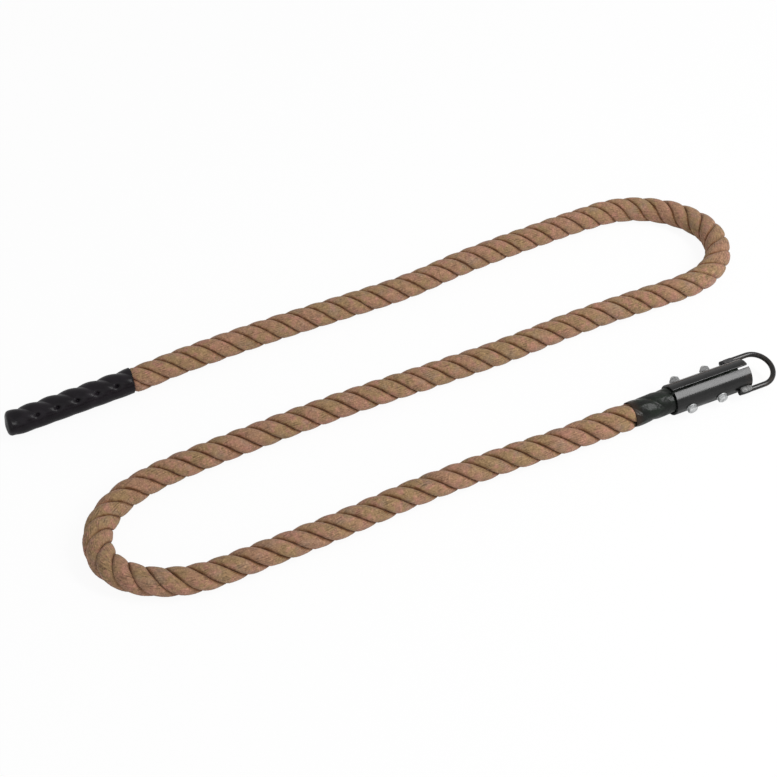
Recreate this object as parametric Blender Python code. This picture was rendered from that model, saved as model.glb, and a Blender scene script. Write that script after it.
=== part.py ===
"""Gym climbing rope laid out on a floor in two bends.

A thick laid rope has a moulded cap on its free end. Its other end lies in a black sleeve inside
a steel clamp: two half shells, drawn together by two cross bolts, with a welded bail that hangs
on a ceiling hook in use. Units are metres, +Z is up, and the long runs of rope follow X.
"""

import math

import bmesh
import bpy
from mathutils import Vector

# Fit between pieces that touch
GAP = 0.0003

# Rope: its diameter, and how much of it is pressed flat on the floor
ROPE_DIAMETER = 0.038
FLAT_SHARE = 0.1
CAP_SQUEEZE_SHARE = 0.79
SLEEVE_SQUEEZE_SHARE = 0.95
TAIL_SQUEEZE_SHARE = 0.884
STRANDS = 3
LAY_LENGTH = 0.0945
BEND_STEPS = 2

# Route of the rope's centre line: X, Y and height above the lying line.
# It starts past the cap, makes the right-hand bend, then the left-hand one, and ends at the sleeve.
ROUTE = [
    (-0.3005, 0.2075, 0.0010),
    (-0.1805, 0.2095, 0.0000),
    (-0.0605, 0.2055, 0.0000),
    (0.0595, 0.2020, 0.0000),
    (0.1795, 0.2125, 0.0000),
    (0.2995, 0.2160, 0.0000),
    (0.3995, 0.2160, 0.0000),
    (0.4615, 0.2100, 0.0000),
    (0.5105, 0.1875, 0.0000),
    (0.5485, 0.1490, 0.0000),
    (0.5655, 0.0975, 0.0000),
    (0.5485, 0.0450, 0.0000),
    (0.5075, 0.0125, 0.0000),
    (0.4545, 0.0015, 0.0000),
    (0.3795, 0.0045, 0.0000),
    (0.2595, 0.0085, 0.0000),
    (0.1295, 0.0055, 0.0000),
    (-0.0005, 0.0100, 0.0000),
    (-0.1305, 0.0160, 0.0000),
    (-0.2605, 0.0165, 0.0000),
    (-0.3705, 0.0140, 0.0000),
    (-0.4405, 0.0075, 0.0000),
    (-0.4945, -0.0105, 0.0000),
    (-0.5335, -0.0455, 0.0000),
    (-0.5455, -0.0940, 0.0000),
    (-0.5265, -0.1370, 0.0000),
    (-0.4875, -0.1670, 0.0000),
    (-0.4355, -0.1830, 0.0000),
    (-0.3605, -0.1855, 0.0000),
    (-0.2405, -0.1860, 0.0000),
    (-0.1205, -0.1820, 0.0000),
    (-0.0005, -0.1855, 0.0005),
    (0.0995, -0.1935, 0.0020),
]

# Cap moulded round the free end
CAP_MOUTH = (-0.3920, 0.2023)
CAP_TURN = math.radians(1.0)
CAP_LENGTH = 0.193
CAP_WALL = 0.0012
CAP_RELIEF = 0.0033
CAP_TIP_WALL = 0.009
CAP_TIP_ROUND = 0.008
CAP_TIP_CROWN = 0.0016
CAP_EDGE = 0.0004
CAP_LAY_LENGTH = 0.0908
CAP_LAY_SHARE = 0.726
CAP_SLANT = math.radians(8)
CAP_SLANT_LENGTH = 0.030
CAP_SLANT_SIDE = math.radians(48)

# Sleeve round the clamped end
SLEEVE_BARE_LENGTH = 0.066
SLEEVE_WALL = 0.0009
SLEEVE_RELIEF = 0.0012

# Clamp: two half shells of one tube
SHELL_LENGTH = 0.129
SHELL_WALL = 0.0035
SHELL_EDGE = 0.0006
SEAM_GAP = 0.004
ROPE_END_INSET = 0.0155
CLAMP_MOUTH = (0.2845, -0.1990)
CLAMP_TURN = math.radians(-2.2)
CLAMP_ROLL = math.radians(12.7)

# Cross bolts, M8 with a 13 mm hexagon
BOLT_DIAMETER = 0.008
MOUTH_TO_BOLT = 0.0245
BOLT_TO_LEG = 0.0275
HEX_ACROSS_FLATS = 0.013
HEAD_HEIGHT = 0.0053
NUT_HEIGHT = 0.0065
THREAD_END = 0.003
WASHER_DIAMETER = 0.016
WASHER_THICKNESS = 0.0016
SEAT_DEPTH = 0.0015
SEAT_MARGIN = 0.0006
HEX_CHAMFER_SHARE = 0.12
BOLT_POINT_SHARE = 0.25

# Bail: a bent round bar, welded to the shells' sides
BAIL_DIAMETER = 0.008
BAIL_LEG_LAP = 0.025
BAIL_REACH = 0.020
WELD_RADIUS = 0.0026
WELD_LENGTH = 0.019

# Facets
ROPE_BEVEL_RESOLUTION = 4
BAR_BEVEL_RESOLUTION = 4
LOBE_FACETS = 40
LOBE_RINGS_PER_LAY = 14
TIP_RINGS = 4
SHELL_FACETS = 28
ROUND_FACETS = 24
BAIL_ARC_STEPS = 18
WELD_FACETS = 12
WELD_DOME_RINGS = 3
CUTTER_FACETS = 96
CUTTER_OVERRUN = 0.002
MERGE_DISTANCE = 0.00003
SMOOTH_ANGLE = math.radians(35)
HEX_SMOOTH_ANGLE = math.radians(25)
EDGE_ANGLE = math.radians(50)

# Sizes that follow from those above
ROPE_RADIUS = ROPE_DIAMETER / 2
LYING_HEIGHT = ROPE_RADIUS - ROPE_DIAMETER * FLAT_SHARE
CAP_BORE_RADIUS = ROPE_RADIUS * CAP_SQUEEZE_SHARE + GAP
CAP_VALLEY_RADIUS = CAP_BORE_RADIUS + CAP_WALL
CAP_AXIS_HEIGHT = CAP_VALLEY_RADIUS + CAP_RELIEF
TAIL_RADIUS = ROPE_RADIUS * TAIL_SQUEEZE_SHARE
SLEEVE_BORE_RADIUS = TAIL_RADIUS + GAP
SLEEVE_VALLEY_RADIUS = SLEEVE_BORE_RADIUS + SLEEVE_WALL
TAIL_LENGTH = SLEEVE_BARE_LENGTH + SHELL_LENGTH - ROPE_END_INSET
SHELL_BORE_RADIUS = SLEEVE_VALLEY_RADIUS + SLEEVE_RELIEF + GAP
SHELL_RADIUS = SHELL_BORE_RADIUS + SHELL_WALL
SEAT_RADIUS = SHELL_RADIUS - SEAT_DEPTH
HEX_CORNER_RADIUS = HEX_ACROSS_FLATS / math.sqrt(3)
BOLT_HOLE_RADIUS = BOLT_DIAMETER / 2 + GAP
BAIL_RADIUS = BAIL_DIAMETER / 2
LEG_OFFSET = SHELL_RADIUS + GAP + BAIL_RADIUS
BOLT_PLACES = {
    "mouth": MOUTH_TO_BOLT,
    "middle": SHELL_LENGTH - BAIL_LEG_LAP - BOLT_TO_LEG,
}


def clear_scene():
    """Remove every object that the file opened with."""
    for thing in list(bpy.data.objects):
        bpy.data.objects.remove(thing, do_unlink=True)


def make_material(name, colour, roughness, metallic=0.0):
    """Return a Principled material."""
    material = bpy.data.materials.new(name)
    material.use_nodes = True
    shader = material.node_tree.nodes["Principled BSDF"]
    shader.inputs["Base Color"].default_value = (*colour, 1.0)
    shader.inputs["Roughness"].default_value = roughness
    shader.inputs["Metallic"].default_value = metallic
    return material


def add_object(name, data, material, parent=None):
    """Link an object that shows data, under an optional parent."""
    thing = bpy.data.objects.new(name, data)
    thing.data.materials.append(material)
    thing.parent = parent
    bpy.context.scene.collection.objects.link(thing)
    return thing


def finish_mesh(name, shape, smooth_angle=SMOOTH_ANGLE):
    """Turn a bmesh into a mesh whose faces point out and whose round faces are shaded smooth."""
    bmesh.ops.recalc_face_normals(shape, faces=shape.faces)
    mesh = bpy.data.meshes.new(name)
    shape.to_mesh(mesh)
    shape.free()
    mesh.shade_smooth()
    mesh.set_sharp_from_angle(angle=smooth_angle)
    return mesh


def skin_rings(shape, rings, start_point=None, end_point=None):
    """Join closed rings of points in order, with a fan to a point or a flat face at each end."""
    rows = [[shape.verts.new(point) for point in ring] for ring in rings]
    count = len(rows[0])
    for row, following in zip(rows, rows[1:]):
        for index in range(count):
            after = (index + 1) % count
            shape.faces.new((row[index], row[after], following[after], following[index]))
    for row, tip in ((rows[0], start_point), (rows[-1], end_point)):
        if tip is None:
            shape.faces.new(row)
            continue
        peak = shape.verts.new(tip)
        for index in range(count):
            shape.faces.new((row[index], row[(index + 1) % count], peak))


def circle_x(x, radius, count, centre=(0.0, 0.0)):
    """Return points round the X axis, or round a centre given in Y and Z."""
    angles = [2 * math.pi * index / count for index in range(count)]
    return [
        (x, centre[0] + radius * math.cos(angle), centre[1] + radius * math.sin(angle))
        for angle in angles
    ]


def cylinder_y(name, y_low, y_high, radius, count=ROUND_FACETS):
    """Return the mesh of a cylinder along Y."""
    shape = bmesh.new()
    rings = [
        [(z, y, x) for y, x, z in circle_x(height, radius, count)]
        for height in (y_low, y_high)
    ]
    skin_rings(shape, rings)
    return finish_mesh(name, shape)


def add_cut(target, cutter_mesh, location=(0.0, 0.0, 0.0)):
    """Cut a hidden shape out of a target that has the same parent."""
    cutter = bpy.data.objects.new(cutter_mesh.name, cutter_mesh)
    cutter.parent = target.parent
    cutter.location = location
    cutter.hide_render = True
    cutter.display_type = "WIRE"
    bpy.context.scene.collection.objects.link(cutter)
    cut = target.modifiers.new(cutter_mesh.name, "BOOLEAN")
    cut.operation = "DIFFERENCE"
    cut.solver = "EXACT"
    cut.object = cutter


def smooth_route(points):
    """Read points from a Catmull-Rom curve through the given ones."""
    padded = [points[0] * 2 - points[1], *points, points[-1] * 2 - points[-2]]
    smooth = []
    for before, start, end, after in zip(padded, padded[1:], padded[2:], padded[3:]):
        for step in range(BEND_STEPS):
            t = step / BEND_STEPS
            smooth.append(
                0.5 * (2 * start + (end - before) * t
                       + (2 * before - 5 * start + 4 * end - after) * t ** 2
                       + (3 * start - before - 3 * end + after) * t ** 3)
            )
    smooth.append(points[-1])
    return smooth


def clamp_point(frame, x):
    """Return the world place of a point on the clamp's axis, x from its mouth."""
    return frame.matrix_world @ Vector((x, 0.0, 0.0))


def cap_point(x):
    """Return the world place of a point on the cap's axis, x from its mouth."""
    mouth_x, mouth_y = CAP_MOUTH
    return Vector((
        mouth_x + x * math.cos(CAP_TURN),
        mouth_y + x * math.sin(CAP_TURN),
        CAP_AXIS_HEIGHT,
    ))


def rope_points(clamp_frame):
    """Return the rope's centre line, from inside the cap to the sleeve's edge."""
    cap_inner = CAP_LENGTH - CAP_TIP_WALL - GAP
    start = [cap_point(x) for x in (-cap_inner, -cap_inner / 2, 0.0, ROPE_RADIUS)]
    middle = [Vector((x, y, LYING_HEIGHT + lift)) for x, y, lift in ROUTE]
    sleeve_edge = -SLEEVE_BARE_LENGTH - GAP
    end = [clamp_point(clamp_frame, sleeve_edge - ROPE_DIAMETER * back) for back in (2, 1, 0)]
    return smooth_route(start + middle + end)


def make_rope(clamp_frame, material):
    """Make the free rope: a round tube, drawn in at both ends and pressed flat on the floor."""
    points = rope_points(clamp_frame)
    curve = bpy.data.curves.new("rope_line", "CURVE")
    curve.dimensions = "3D"
    curve.bevel_depth = ROPE_RADIUS
    curve.bevel_resolution = ROPE_BEVEL_RESOLUTION
    curve.use_fill_caps = True
    spline = curve.splines.new("POLY")
    spline.points.add(len(points) - 1)
    cap_x = CAP_MOUTH[0] + GAP
    for index, (knot, point) in enumerate(zip(spline.points, points)):
        knot.co = (*point, 1.0)
        knot.radius = 1.0
        if point.x < cap_x and point.y > 0:
            knot.radius = CAP_SQUEEZE_SHARE
        if index == len(points) - 1:
            knot.radius = SLEEVE_SQUEEZE_SHARE
    line = bpy.data.objects.new("rope_line", curve)
    bpy.context.scene.collection.objects.link(line)
    bpy.context.view_layer.update()
    shape = bmesh.new()
    shape.from_mesh(bpy.data.meshes.new_from_object(line))
    bpy.data.objects.remove(line, do_unlink=True)
    bmesh.ops.remove_doubles(shape, verts=shape.verts, dist=MERGE_DISTANCE)
    rope = add_object("rope", finish_mesh("rope", shape), material)

    floor = bmesh.new()
    bmesh.ops.create_cube(floor, size=1.0)
    reach = 2 * (CAP_LENGTH + SHELL_LENGTH) + max(abs(x) for x, _, _ in ROUTE) * 2
    bmesh.ops.scale(floor, vec=(reach, reach, ROPE_DIAMETER), verts=floor.verts)
    add_cut(rope, finish_mesh("floor_cutter", floor), (0.0, 0.0, -ROPE_DIAMETER / 2))
    return rope


def lobed_ring(x, valley_radius, relief, turns):
    """Return a ring round X with one round swelling per strand, turned as far as the strands."""
    ring = []
    for index in range(LOBE_FACETS):
        angle = 2 * math.pi * index / LOBE_FACETS
        lay = STRANDS * (angle + 2 * math.pi * turns)
        reach = valley_radius + relief * abs(math.cos(lay / 2))
        ring.append((x, reach * math.sin(angle), reach * math.cos(angle)))
    return ring


def lobed_stations(start, end, lay_length):
    """Return evenly spaced places along X for the lobed rings."""
    count = max(2, round(abs(end - start) / lay_length * LOBE_RINGS_PER_LAY))
    return [start + (end - start) * index / count for index in range(count + 1)]


def plain_ring(x, radius):
    """Return a round ring with as many points as a lobed one."""
    return lobed_ring(x, radius, 0.0, 0.0)


def cap_turns(x):
    """Return how far the strands under the cap have turned, x from its mouth."""
    return CAP_LAY_SHARE / STRANDS + x / CAP_LAY_LENGTH


def slanted(ring):
    """Return a ring of the cap, leant the more with the tip's slant the nearer it lies to the tip."""
    leant = []
    for x, y, z in ring:
        share = max(0.0, 1 - (CAP_LENGTH + x) / CAP_SLANT_LENGTH)
        raised = y * math.sin(CAP_SLANT_SIDE) + z * math.cos(CAP_SLANT_SIDE)
        leant.append((x + share * raised * math.tan(CAP_SLANT), y, z))
    return leant


def make_end_cap(material):
    """Make the cap: a thin-walled boot drawn over the strands, with a round-edged, slanted tip."""
    shape = bmesh.new()
    body_end = CAP_TIP_ROUND - CAP_LENGTH
    rings = [
        plain_ring(CAP_TIP_WALL - CAP_LENGTH, CAP_BORE_RADIUS),
        plain_ring(0.0, CAP_BORE_RADIUS),
        lobed_ring(0.0, CAP_VALLEY_RADIUS - CAP_EDGE, CAP_RELIEF, cap_turns(0.0)),
    ]
    for x in lobed_stations(-CAP_EDGE, body_end, CAP_LAY_LENGTH):
        rings.append(slanted(lobed_ring(x, CAP_VALLEY_RADIUS, CAP_RELIEF, cap_turns(x))))
    for step in range(1, TIP_RINGS + 1):
        rise = math.pi / 2 * step / TIP_RINGS
        x = body_end - (CAP_TIP_ROUND - CAP_TIP_CROWN) * math.sin(rise)
        crest = CAP_VALLEY_RADIUS + CAP_RELIEF - CAP_TIP_ROUND * (1 - math.cos(rise))
        relief = CAP_RELIEF * math.cos(rise)
        rings.append(slanted(lobed_ring(x, crest - relief, relief, cap_turns(x))))
    bore_end = (CAP_TIP_WALL - CAP_LENGTH, 0.0, 0.0)
    skin_rings(shape, rings, start_point=bore_end, end_point=(-CAP_LENGTH, 0.0, 0.0))
    cap = add_object("end_cap", finish_mesh("end_cap", shape), material)
    cap.location = (*CAP_MOUTH, CAP_AXIS_HEIGHT)
    cap.rotation_euler = (0.0, 0.0, CAP_TURN)
    return cap


def make_sleeve(frame, material):
    """Make the sleeve that lies over the clamped strands, drilled for the bolts."""
    shape = bmesh.new()
    start = -SLEEVE_BARE_LENGTH
    end = start + TAIL_LENGTH
    outer = [
        lobed_ring(x, SLEEVE_VALLEY_RADIUS, SLEEVE_RELIEF, x / LAY_LENGTH)
        for x in lobed_stations(start, end, LAY_LENGTH)
    ]
    rings = outer + [plain_ring(end, SLEEVE_BORE_RADIUS), plain_ring(start, SLEEVE_BORE_RADIUS)]
    rows = [[shape.verts.new(point) for point in ring] for ring in rings]
    for row, following in zip(rows, rows[1:] + rows[:1]):
        for index in range(LOBE_FACETS):
            after = (index + 1) % LOBE_FACETS
            shape.faces.new((row[index], row[after], following[after], following[index]))
    sleeve = add_object("clamp_sleeve", finish_mesh("clamp_sleeve", shape), material, frame)
    drill(sleeve)
    return sleeve


def make_tail(frame, material):
    """Make the rope's clamped end inside the sleeve, drilled for the bolts."""
    shape = bmesh.new()
    start = -SLEEVE_BARE_LENGTH
    skin_rings(shape, [circle_x(x, TAIL_RADIUS, LOBE_FACETS) for x in (start, start + TAIL_LENGTH)])
    tail = add_object("rope_tail", finish_mesh("rope_tail", shape), material, frame)
    drill(tail)
    return tail


def drill(piece):
    """Drill a piece of the clamp for both cross bolts."""
    reach = SHELL_RADIUS + CUTTER_OVERRUN
    for place, x in BOLT_PLACES.items():
        cutter = cylinder_y(f"{piece.name}_{place}_drill", -reach, reach, BOLT_HOLE_RADIUS)
        add_cut(piece, cutter, (x, 0.0, 0.0))


def make_shell(name, side, frame, material):
    """Make one half shell: half a tube, with edges eased, bolt holes and a flat under each washer."""
    outline = []
    for radius, order in ((SHELL_RADIUS, 1), (SHELL_BORE_RADIUS, -1)):
        limit = math.acos(SEAM_GAP / 2 / radius)
        for index in range(SHELL_FACETS + 1):
            angle = order * limit * (2 * index / SHELL_FACETS - 1)
            outline.append((0.0, side * radius * math.cos(angle), radius * math.sin(angle)))
    shape = bmesh.new()
    face = shape.faces.new([shape.verts.new(point) for point in outline])
    grown = bmesh.ops.extrude_face_region(shape, geom=[face])
    moved = [item for item in grown["geom"] if isinstance(item, bmesh.types.BMVert)]
    bmesh.ops.translate(shape, verts=moved, vec=(SHELL_LENGTH, 0.0, 0.0))
    shell = add_object(name, finish_mesh(name, shape), material, frame)
    bevel = shell.modifiers.new("eased_edges", "BEVEL")
    bevel.width = SHELL_EDGE
    bevel.segments = 2
    bevel.limit_method = "ANGLE"
    bevel.angle_limit = EDGE_ANGLE
    drill(shell)
    washer_seat = WASHER_DIAMETER / 2 + SEAT_MARGIN
    outside = SHELL_RADIUS + CUTTER_OVERRUN
    for place, x in BOLT_PLACES.items():
        low, high = sorted((side * SEAT_RADIUS, side * outside))
        cutter = cylinder_y(f"{name}_{place}_seat", low, high, washer_seat)
        add_cut(shell, cutter, (x, 0.0, 0.0))
    return shell


def hexagon_rings(y_low, y_high, chamfer_low, chamfer_high, bore_radius=None):
    """Return rings round Y for a hexagon whose corners are turned down at the chosen ends."""
    count = ROUND_FACETS
    flat_radius = HEX_ACROSS_FLATS / 2
    chamfer = HEX_ACROSS_FLATS * HEX_CHAMFER_SHARE

    def hexagon(y, turned_radius):
        ring = []
        for index in range(count):
            angle = 2 * math.pi * index / count
            off_flat = (angle + math.pi / 6) % (math.pi / 3) - math.pi / 6
            reach = min(flat_radius / math.cos(off_flat), turned_radius)
            ring.append((reach * math.cos(angle), y, reach * math.sin(angle)))
        return ring

    rings = []
    if chamfer_low:
        rings.append(hexagon(y_low, flat_radius - GAP))
        rings.append(hexagon(y_low + chamfer / 2, HEX_CORNER_RADIUS))
    else:
        rings.append(hexagon(y_low, HEX_CORNER_RADIUS))
    if chamfer_high:
        rings.append(hexagon(y_high - chamfer / 2, HEX_CORNER_RADIUS))
        rings.append(hexagon(y_high, flat_radius - GAP))
    else:
        rings.append(hexagon(y_high, HEX_CORNER_RADIUS))
    if bore_radius is not None:
        for y in (y_high, y_low):
            rings.append([
                (bore_radius * math.cos(2 * math.pi * index / count), y,
                 bore_radius * math.sin(2 * math.pi * index / count))
                for index in range(count)
            ])
    return rings


def round_ring(y, radius):
    """Return a ring of points round the Y axis."""
    angles = [2 * math.pi * index / ROUND_FACETS for index in range(ROUND_FACETS)]
    return [(radius * math.cos(angle), y, radius * math.sin(angle)) for angle in angles]


def make_bolt(name, x, frame, material):
    """Make a hexagon bolt with its head on the near side and its end turned to a short cone."""
    head_under = -(SEAT_RADIUS + WASHER_THICKNESS + 2 * GAP)
    shank_end = SEAT_RADIUS + WASHER_THICKNESS + 3 * GAP + NUT_HEIGHT + THREAD_END
    radius = BOLT_DIAMETER / 2
    shape = bmesh.new()
    rings = hexagon_rings(head_under - HEAD_HEIGHT, head_under, True, False)
    rings += [
        round_ring(head_under, radius),
        round_ring(shank_end - radius * BOLT_POINT_SHARE, radius),
        round_ring(shank_end, radius * (1 - BOLT_POINT_SHARE)),
    ]
    skin_rings(shape, rings)
    bolt = add_object(name, finish_mesh(name, shape, HEX_SMOOTH_ANGLE), material, frame)
    bolt.location = (x, 0.0, 0.0)
    return bolt


def make_ring_body(name, rings, place, frame, material):
    """Make a holed round piece from rings that run out along its side and back along its bore."""
    shape = bmesh.new()
    rows = [[shape.verts.new(point) for point in ring] for ring in rings]
    for row, following in zip(rows, rows[1:] + rows[:1]):
        for index in range(ROUND_FACETS):
            after = (index + 1) % ROUND_FACETS
            shape.faces.new((row[index], row[after], following[after], following[index]))
    piece = add_object(name, finish_mesh(name, shape, HEX_SMOOTH_ANGLE), material, frame)
    piece.location = (place, 0.0, 0.0)
    return piece


def make_washer(name, side, x, frame, material):
    """Make a flat washer on its seat."""
    low, high = sorted((side * (SEAT_RADIUS + GAP), side * (SEAT_RADIUS + GAP + WASHER_THICKNESS)))
    outer = WASHER_DIAMETER / 2
    rings = [
        round_ring(low, outer),
        round_ring(high, outer),
        round_ring(high, BOLT_HOLE_RADIUS),
        round_ring(low, BOLT_HOLE_RADIUS),
    ]
    return make_ring_body(name, rings, x, frame, material)


def make_nut(name, x, frame, material):
    """Make a hexagon nut on the far washer."""
    low = SEAT_RADIUS + WASHER_THICKNESS + 2 * GAP
    rings = hexagon_rings(low, low + NUT_HEIGHT, True, True, BOLT_HOLE_RADIUS)
    return make_ring_body(name, rings, x, frame, material)


def make_bail(frame, material):
    """Make the bail: a bar bent to a half circle between two straight legs."""
    arc_x = SHELL_LENGTH + BAIL_REACH
    leg_end = SHELL_LENGTH - BAIL_LEG_LAP
    points = [(leg_end, -LEG_OFFSET, 0.0)]
    for step in range(BAIL_ARC_STEPS + 1):
        angle = math.pi * step / BAIL_ARC_STEPS - math.pi / 2
        points.append((arc_x + LEG_OFFSET * math.cos(angle), LEG_OFFSET * math.sin(angle), 0.0))
    points.append((leg_end, LEG_OFFSET, 0.0))
    curve = bpy.data.curves.new("bail", "CURVE")
    curve.dimensions = "3D"
    curve.bevel_depth = BAIL_RADIUS
    curve.bevel_resolution = BAR_BEVEL_RESOLUTION
    curve.use_fill_caps = True
    spline = curve.splines.new("POLY")
    spline.points.add(len(points) - 1)
    for knot, point in zip(spline.points, points):
        knot.co = (*point, 1.0)
    return add_object("bail", curve, material, frame)


def make_weld(name, side, level, frame, material):
    """Make one weld bead in the groove between a leg of the bail and its shell."""
    crest = SHELL_RADIUS + GAP + WELD_RADIUS / 2
    height = WELD_RADIUS + GAP
    middle = (side * crest, level * height)
    start = SHELL_LENGTH - BAIL_LEG_LAP / 2 - WELD_LENGTH / 2
    end = start + WELD_LENGTH
    rings = []
    for step in range(1, WELD_DOME_RINGS + 1):
        rise = math.pi / 2 * step / WELD_DOME_RINGS
        x = start + WELD_RADIUS * (1 - math.cos(rise))
        rings.append(circle_x(x, WELD_RADIUS * math.sin(rise), WELD_FACETS, middle))
    rings += [[(start + end - x, y, z) for x, y, z in ring] for ring in reversed(rings)]
    shape = bmesh.new()
    skin_rings(shape, rings, start_point=(start, *middle), end_point=(end, *middle))
    weld = add_object(name, finish_mesh(name, shape), material, frame)

    overrun = CUTTER_OVERRUN + WELD_RADIUS
    for label, radius, centre in (
        ("shell", SHELL_RADIUS + GAP, (0.0, 0.0)),
        ("leg", BAIL_RADIUS + GAP, (side * LEG_OFFSET, 0.0)),
    ):
        cutter = bmesh.new()
        count = CUTTER_FACETS if label == "shell" else ROUND_FACETS
        skin_rings(cutter, [circle_x(x, radius, count, centre) for x in (start - overrun, end + overrun)])
        add_cut(weld, finish_mesh(f"{name}_{label}_cutter", cutter))
    return weld


def make_clamp_frame():
    """Return the empty that carries the clamp: X along its axis from the mouth, turned and rolled."""
    frame = bpy.data.objects.new("clamp_frame", None)
    frame.location = (*CLAMP_MOUTH, SHELL_RADIUS)
    frame.rotation_euler = (CLAMP_ROLL, 0.0, CLAMP_TURN)
    bpy.context.scene.collection.objects.link(frame)
    bpy.context.view_layer.update()
    return frame


def main():
    """Build the whole rope."""
    clear_scene()
    hemp = make_material("tan_rope_fibre", (0.33, 0.19, 0.11), 0.9)
    rubber = make_material("black_moulded_rubber", (0.02, 0.016, 0.019), 0.5)
    film = make_material("black_sleeve_film", (0.013, 0.015, 0.013), 0.35)
    paint = make_material("black_painted_steel", (0.03, 0.03, 0.032), 0.4)
    zinc = make_material("zinc_plated_steel", (0.62, 0.62, 0.62), 0.35, 1.0)

    frame = make_clamp_frame()
    make_rope(frame, hemp)
    make_end_cap(rubber)
    make_sleeve(frame, film)
    make_tail(frame, hemp)
    make_shell("near_shell", -1, frame, paint)
    make_shell("far_shell", 1, frame, paint)
    for place, x in BOLT_PLACES.items():
        make_bolt(f"{place}_bolt", x, frame, zinc)
        make_washer(f"{place}_near_washer", -1, x, frame, zinc)
        make_washer(f"{place}_far_washer", 1, x, frame, zinc)
        make_nut(f"{place}_nut", x, frame, zinc)
    make_bail(frame, paint)
    for side_name, side in (("near", -1), ("far", 1)):
        for level_name, level in (("upper", 1), ("lower", -1)):
            make_weld(f"{side_name}_{level_name}_weld", side, level, frame, paint)


main()
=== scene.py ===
"""Gym climbing rope, laid out in two bends on a pale floor.

Three twisted strands run from a ribbed rubber cap to a bolted steel clamp with a welded bail.
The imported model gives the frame, and each piece here stands for one or more of its nodes.
Units are metres, +Z is up, and the long runs of rope follow X.
"""

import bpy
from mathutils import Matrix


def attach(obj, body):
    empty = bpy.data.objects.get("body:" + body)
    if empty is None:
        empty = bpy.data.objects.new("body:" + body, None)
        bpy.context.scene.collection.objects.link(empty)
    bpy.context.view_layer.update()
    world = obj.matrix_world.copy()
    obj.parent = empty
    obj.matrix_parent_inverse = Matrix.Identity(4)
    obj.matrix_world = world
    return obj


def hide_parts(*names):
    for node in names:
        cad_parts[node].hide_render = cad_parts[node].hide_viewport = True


bl_info = {
    "name": "Gym Climbing Rope",
    "version": (1, 0, 0),
    "blender": (4, 5, 0),
    "location": "3D View > Sidebar > Rope",
    "description": "Builds a laid climbing rope with its end cap, sleeve and bolted clamp",
    "category": "Object",
}

import math

import bmesh
import bpy
from bpy.props import FloatProperty, FloatVectorProperty, IntProperty, PointerProperty
from mathutils import Matrix, Vector, noise

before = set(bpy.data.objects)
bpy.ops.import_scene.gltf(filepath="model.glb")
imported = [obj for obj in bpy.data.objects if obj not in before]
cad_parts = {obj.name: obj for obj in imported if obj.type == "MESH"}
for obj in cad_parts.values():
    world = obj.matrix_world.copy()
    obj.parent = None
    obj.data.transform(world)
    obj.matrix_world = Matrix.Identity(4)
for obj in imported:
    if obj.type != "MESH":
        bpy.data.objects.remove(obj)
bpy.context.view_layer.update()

# Route of the rope's centre line, as in the model: X, Y and height above the lying line
ROUTE = [
    (-0.3005, 0.2075, 0.0010), (-0.1805, 0.2095, 0.0000), (-0.0605, 0.2055, 0.0000),
    (0.0595, 0.2020, 0.0000), (0.1795, 0.2125, 0.0000), (0.2995, 0.2160, 0.0000),
    (0.3995, 0.2160, 0.0000), (0.4615, 0.2100, 0.0000), (0.5105, 0.1875, 0.0000),
    (0.5485, 0.1490, 0.0000), (0.5655, 0.0975, 0.0000), (0.5485, 0.0450, 0.0000),
    (0.5075, 0.0125, 0.0000), (0.4545, 0.0015, 0.0000), (0.3795, 0.0045, 0.0000),
    (0.2595, 0.0085, 0.0000), (0.1295, 0.0055, 0.0000), (-0.0005, 0.0100, 0.0000),
    (-0.1305, 0.0160, 0.0000), (-0.2605, 0.0165, 0.0000), (-0.3705, 0.0140, 0.0000),
    (-0.4405, 0.0075, 0.0000), (-0.4945, -0.0105, 0.0000), (-0.5335, -0.0455, 0.0000),
    (-0.5455, -0.0940, 0.0000), (-0.5265, -0.1370, 0.0000), (-0.4875, -0.1670, 0.0000),
    (-0.4355, -0.1830, 0.0000), (-0.3605, -0.1855, 0.0000), (-0.2405, -0.1860, 0.0000),
    (-0.1205, -0.1820, 0.0000), (-0.0005, -0.1855, 0.0005), (0.0995, -0.1935, 0.0020),
]

# How far a strand goes to get once round the rope, at distances along the line from the cap's end
LAY_LENGTHS = [
    (0.00, 0.0910), (0.20, 0.0925), (0.60, 0.0930), (1.00, 0.0900), (1.25, 0.0930), (1.45, 0.0955),
    (1.90, 0.0940), (2.20, 0.0895), (2.45, 0.0850), (2.70, 0.0955), (3.00, 0.0975), (3.40, 0.0975),
]
LAY_START = 0.27  # turn of the first strand at the cap's end

# Where the cap's and the clamp's mouths stand on the floor, and how they are turned
CAP_MOUTH = Vector((-0.3920, 0.2023, 0.0))
CAP_TURN = math.radians(1.0)
CLAMP_MOUTH = Vector((0.2845, -0.1990, 0.0))
CLAMP_TURN = math.radians(-2.2)
CLAMP_ROLL = math.radians(12.7)

# Lines round the cap on which the dents lie, from its top towards the far side
CAP_SEAMS = (math.radians(-47), math.radians(133))

FIT = 0.0003  # room between touching pieces
MERGE = 0.00001  # points nearer than this become one
UNDER_SLEEVE = 0.4  # how far the free rope runs on under the sleeve's edge, in diameters


def metres(name, description, default):
    """Return the setting of a length."""
    return FloatProperty(name=name, description=description, default=default, unit="LENGTH")


def degrees(name, description, default):
    """Return the setting of an angle, with its default in degrees."""
    return FloatProperty(
        name=name, description=description, default=math.radians(default), subtype="ANGLE")


def number(name, description, default):
    """Return the setting of a plain number."""
    return FloatProperty(name=name, description=description, default=default)


def count(name, description, default):
    """Return the setting of a number of like things."""
    return IntProperty(name=name, description=description, default=default, min=3)


def tint(name, description, default):
    """Return the setting of a colour."""
    return FloatVectorProperty(name=name, description=description, default=default, subtype="COLOR")


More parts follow.
